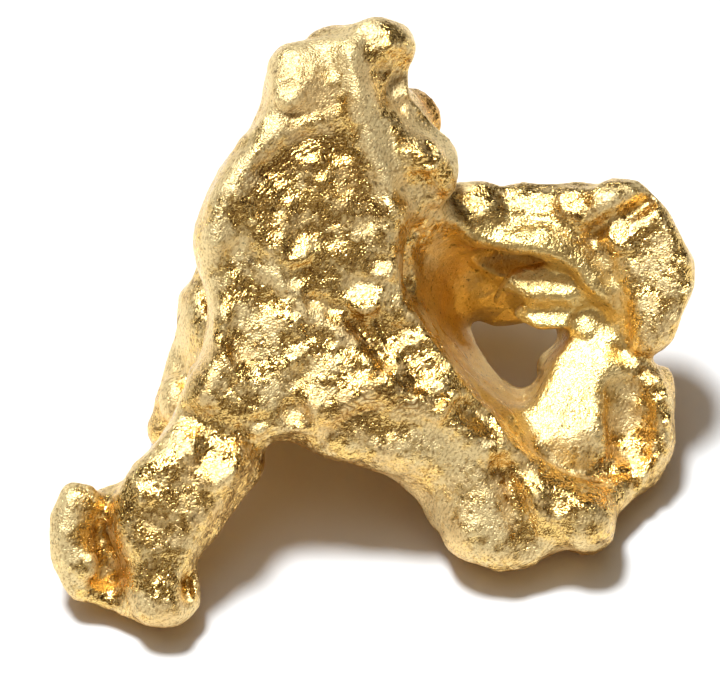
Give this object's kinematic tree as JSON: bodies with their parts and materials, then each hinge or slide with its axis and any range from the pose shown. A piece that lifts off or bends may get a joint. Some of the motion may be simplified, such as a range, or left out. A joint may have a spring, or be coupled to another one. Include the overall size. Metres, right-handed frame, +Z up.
{
  "type": "gold nugget",
  "caption": "Small native gold nugget: a broad leaning face on lumpy feet with a pierced, eared cup grown onto one side.",
  "frame": {"origin": "centre of the footprint, on the ground that the nugget stands on", "axes": "+Z up, -Y the way the broad face leans and looks, +X towards the cup"},
  "size_m": [0.0182, 0.0144, 0.0114],
  "materials": {
    "nugget": "bare native gold, water-worn on its rims and finely rough elsewhere"
  },
  "bodies": {
    "root": {"nugget": "nugget"}
  },
  "joints": []
}
